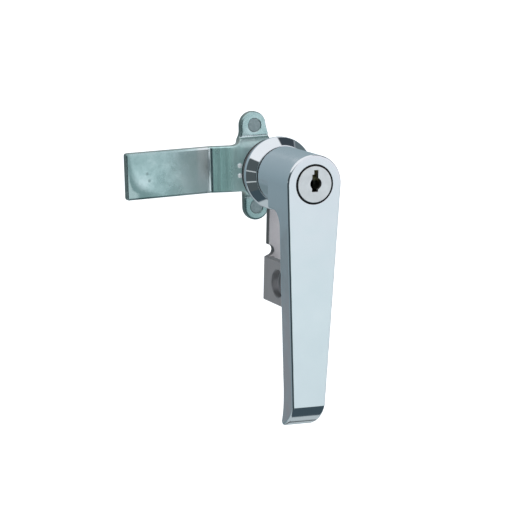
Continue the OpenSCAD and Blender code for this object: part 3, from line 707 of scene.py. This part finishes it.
# --------------------------------------------------------------- the pieces
swing = Matrix.Rotation(DROOP, 4, "Y")
MADE = [
    # piece, field, low corner, high corner, grid step, node, body, material, slot, turn
    # (the low corners keep the planes of the grid off the flat faces)
    ("handle_casting", handle, (-14.13, -46.43, -113.07), (14.2, 20.2, 14.2), 0.5, "handle", "handle", "chrome", "chrome", None),
    ("base_ring_barrel", base, (-18.0, -13.15, -18.0), (18.0, 12.6, 18.0), 0.3, "base_housing", "base", "chrome_ring", "chrome", None),
    ("cylinder_face", cap, (-8.9, -46.5, -8.9), (8.9, -43.7, 8.9), 0.12, "plug_cap", "plug", "satin_nickel", "satin_nickel", None),
    ("latch_arm_stamping", arm, (-66, 14.07, -26.8), (13.4, 24.6, 26.8), 0.4, "latch_arm", "handle", "blue_zinc", "blue_zinc", swing),
    ("hasp_stamping", hasp, (-16.45, -29.65, -60.7), (16.6, 0, 16.6), 0.4, "hasp_plate", "base", "grey_steel", "grey_steel", None),
    ("padlock_ear_bracket", ear, (-1.2, -36.2, -59.8), (10.2, -7, -39.6), 0.35, "padlock_ear", "handle", "grey_steel", "grey_steel", None),
    ("ear_pan_screws", ear_screws, (4.5, -40.55, -57), (9.3, -30.4, -42.4), 0.16, "ear_screws", "handle", "zinc_hardware", "zinc_hardware", None),
    ("slotted_ring_nut", nut, (-12.8, 2.63, -12.8), (12.8, 8.9, 12.8), 0.3, "ring_nut", "base", "zinc_hardware", "zinc_hardware", None),
    ("arm_hex_screw", screw, (-6.4, 4.6, -6.4), (6.4, 26.9, 6.4), 0.22, "arm_screw", "handle", "zinc_hardware", "zinc_hardware", None),
    ("riveted_rod_pins", pins, (-5.4, 18.93, -24.8), (5.4, 30.5, 24.8), 0.3, "rod_pins", "handle", "pin_steel", "zinc_hardware", swing),
]
for name, field, lo, hi, h, node, body, mat, slot, turn in MADE:
    ob = skin(name, field, lo, hi, h, turn=turn, fine=bore_edge if node == "handle" else None)
    ob.data.materials.append(M[mat])
    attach(ob, body)
    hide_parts(node)
    ob.visible_glossy = node in ("handle", "plug_cap", "padlock_ear", "ear_screws", "arm_screw")

KEPT = {
    "cylinder_sleeve": "bright_steel", "sleeve_set_screw": "spring_steel", "face_seal_ring": "black_rubber",
    "shaft_o_ring": "black_rubber", "stop_washer": "zinc_hardware", "shaft_circlip": "spring_steel",
    "arm_washer": "zinc_hardware", "arm_spring_washer": "zinc_hardware", "plug_core": "brass",
    "plug_clip": "spring_steel", "drive_disc": "bright_steel", "wafer_springs": "bright_steel",
    "wafers": "brass", "lock_bolt": "bright_steel", "thrust_washer": "black_acetal",
    "door_gasket": "black_rubber", "lock_washer": "zinc_hardware",
}
EDGES = {"stop_washer": 0.18, "shaft_circlip": 0.15, "arm_washer": 0.25, "arm_spring_washer": 0.25, "door_gasket": 0.2,
         "lock_washer": 0.12, "sleeve_set_screw": 0.1}
for n, mat in KEPT.items():
    ob = nodes[n]
    ob.data.materials.clear()
    ob.data.materials.append(M[mat])
    ob.visible_glossy = n not in ("door_gasket", "lock_washer", "stop_washer", "shaft_circlip")
    if n in EDGES:
        w = ob.modifiers.new("weld", "WELD")
        w.merge_threshold = 1e-6
        b = ob.modifiers.new("edge", "BEVEL")
        b.width = EDGES[n] * 0.001
        b.segments = 2
        b.limit_method = "ANGLE"
        b.angle_limit = math.radians(40)
        ob.modifiers.new("normals", "WEIGHTED_NORMAL")

# ------------------------------------------------------------- stage and light
me = bpy.data.meshes.new("floor")
bm = bmesh.new()
R, Z0 = 30.0, -0.30
ring = [bm.verts.new((R * math.cos(a), R * math.sin(a), Z0)) for a in [math.radians(5 * i) for i in range(72)]]
bm.faces.new(ring)
bm.to_mesh(me)
bm.free()
floor = bpy.data.objects.new("floor", me)
scene.collection.objects.link(floor)
m, t, b = material("pale_floor")
v = place(t, (1, 1, 1))
t.links.new(ramp(t, noise(t, v, 0.4, 2.0), [(0.3, (0.90, 0.90, 0.90)), (0.7, (0.93, 0.93, 0.93))]), b.inputs["Base Color"])
b.inputs["Roughness"].default_value = 0.9
b.inputs["Emission Color"].default_value = (1, 1, 1, 1)
b.inputs["Emission Strength"].default_value = 0.55
me.materials.append(m)
floor.visible_glossy = False

world = bpy.data.worlds.new("studio")
scene.world = world
world.use_nodes = True
t = world.node_tree
t.nodes.clear()
tc = t.nodes.new("ShaderNodeTexCoord")
sp = t.nodes.new("ShaderNodeSeparateXYZ")
t.links.new(tc.outputs["Generated"], sp.inputs[0])
wx, wy, wz = sp.outputs
AZ = maths(t, "MULTIPLY", maths(t, "ARCTAN2", wx, maths(t, "MULTIPLY", wy, -1.0)), 57.29578)
EL = maths(t, "MULTIPLY", maths(t, "ARCSINE", wz), 57.29578)


def window(v, lo, hi, soft):
    return maths(t, "MULTIPLY", remap(t, v, lo - soft, lo + soft, 0, 1, True), remap(t, v, hi - soft, hi + soft, 1, 0, True))


def card(under, az, el, soft, colour):
    """A soft-edged card of light or shade between two bearings and two heights."""
    mask = remap(t, EL, el[0] - soft, el[0] + soft, 0, 1, True) if el[1] > 90 else window(EL, el[0], el[1], soft)
    if az is not None:
        mask = maths(t, "MULTIPLY", mask, window(AZ, az[0], az[1], soft))
    return blend(t, mask, under, colour)


light = ramp(t, remap(t, EL, -30, 30, 0, 1), [(0.0, (0.205, 0.275, 0.31)), (0.5, (0.275, 0.365, 0.41)), (1.0, (0.37, 0.46, 0.51))])
light = card(light, None, (28, 100), 3, (0.95, 0.98, 1.02))                # overhead diffuser
light = card(light, None, (-100, -30), 5, (0.50, 0.57, 0.60))              # table behind
light = card(light, (-100, 104), (-100, -24), 5, (0.055, 0.085, 0.105))    # dark table edge in front
front = ramp(t, remap(t, EL, -17, -5, 0, 1), [(0.0, (0.70, 0.81, 0.855)), (0.5, (0.755, 0.88, 0.92)), (1.0, (0.86, 0.885, 0.95))])
light = card(light, (-2, 112), (-24, 60), 3, front)                        # large front diffuser
light = card(light, (-64, -21), (-50, 22), 3, (0.015, 0.024, 0.038))       # black flags on the left
light = card(light, (-21, -2), (-50, 22), 3, (0.24, 0.32, 0.32))
light = card(light, (-100, -64), (-46, 30.5), 1.5, (0.085, 0.105, 0.112))
light = card(light, (-100, -64), (0.6, 3.0), 0.7, (0.62, 0.67, 0.69))      # two thin light lines between them
light = card(light, (-100, -64), (-25.3, -22.7), 0.7, (0.62, 0.67, 0.69))
light = card(light, (76, 128), (38, 71), 2, (0.05, 0.065, 0.08))            # black flags behind on the right
light = card(light, (97, 128), (-20, 38), 3, (0.14, 0.18, 0.20))
light = card(light, (-190, -148), (-48, -18), 2, (0.19, 0.26, 0.285))      # darker and paler strips behind on the left
light = card(light, (-157, -148), (-17.5, -11.4), 0.8, (0.20, 0.235, 0.255))
light = card(light, (-157, -148), (-17.5, -13.5), 0.5, (0.25, 0.255, 0.275))
light = card(light, (148, 180), (-17.5, -11.6), 0.7, (0.33, 0.315, 0.325))
light = card(light, (142, 176), (-60, -42), 3, (0.05, 0.06, 0.065))
bg = t.nodes.new("ShaderNodeBackground")
t.links.new(light, bg.inputs["Color"])
bg.inputs["Strength"].default_value = 1.0
plain = t.nodes.new("ShaderNodeBackground")
plain.inputs["Color"].default_value = (0.97, 0.97, 0.97, 1)
path = t.nodes.new("ShaderNodeLightPath")
mixer = t.nodes.new("ShaderNodeMixShader")
t.links.new(path.outputs["Is Camera Ray"], mixer.inputs[0])
t.links.new(bg.outputs[0], mixer.inputs[1])
t.links.new(plain.outputs[0], mixer.inputs[2])
out = t.nodes.new("ShaderNodeOutputWorld")
t.links.new(mixer.outputs[0], out.inputs["Surface"])

# ---------------------------------------------------------------------- camera
yaw, pitch, roll = (math.radians(a) for a in (23.897, 9.899, 1.137))
far, focal, ox, oy = 900.0, 2030.4, 25.98, 31.69
fwd = Vector((math.sin(yaw) * math.cos(pitch), math.cos(yaw) * math.cos(pitch), -math.sin(pitch)))
right = fwd.cross(Vector((0, 0, 1))).normalized()
up = right.cross(fwd)
r2 = math.cos(roll) * right + math.sin(roll) * up
u2 = -math.sin(roll) * right + math.cos(roll) * up
spot = (-far * fwd - ox * r2 - oy * u2 + Vector((0, YF, 0))) * 0.001
cam_data = bpy.data.cameras.new("camera")
cam_data.sensor_width = 36.0
cam_data.lens = focal / 512 * 36.0
cam_data.clip_start, cam_data.clip_end = 0.01, 200.0
cam = bpy.data.objects.new("camera", cam_data)
scene.collection.objects.link(cam)
pose = Matrix((r2, u2, -fwd)).transposed().to_4x4()
pose.translation = spot
cam.matrix_world = pose
scene.camera = cam
scene.view_settings.view_transform = "Standard"
scene.view_settings.look = "None"
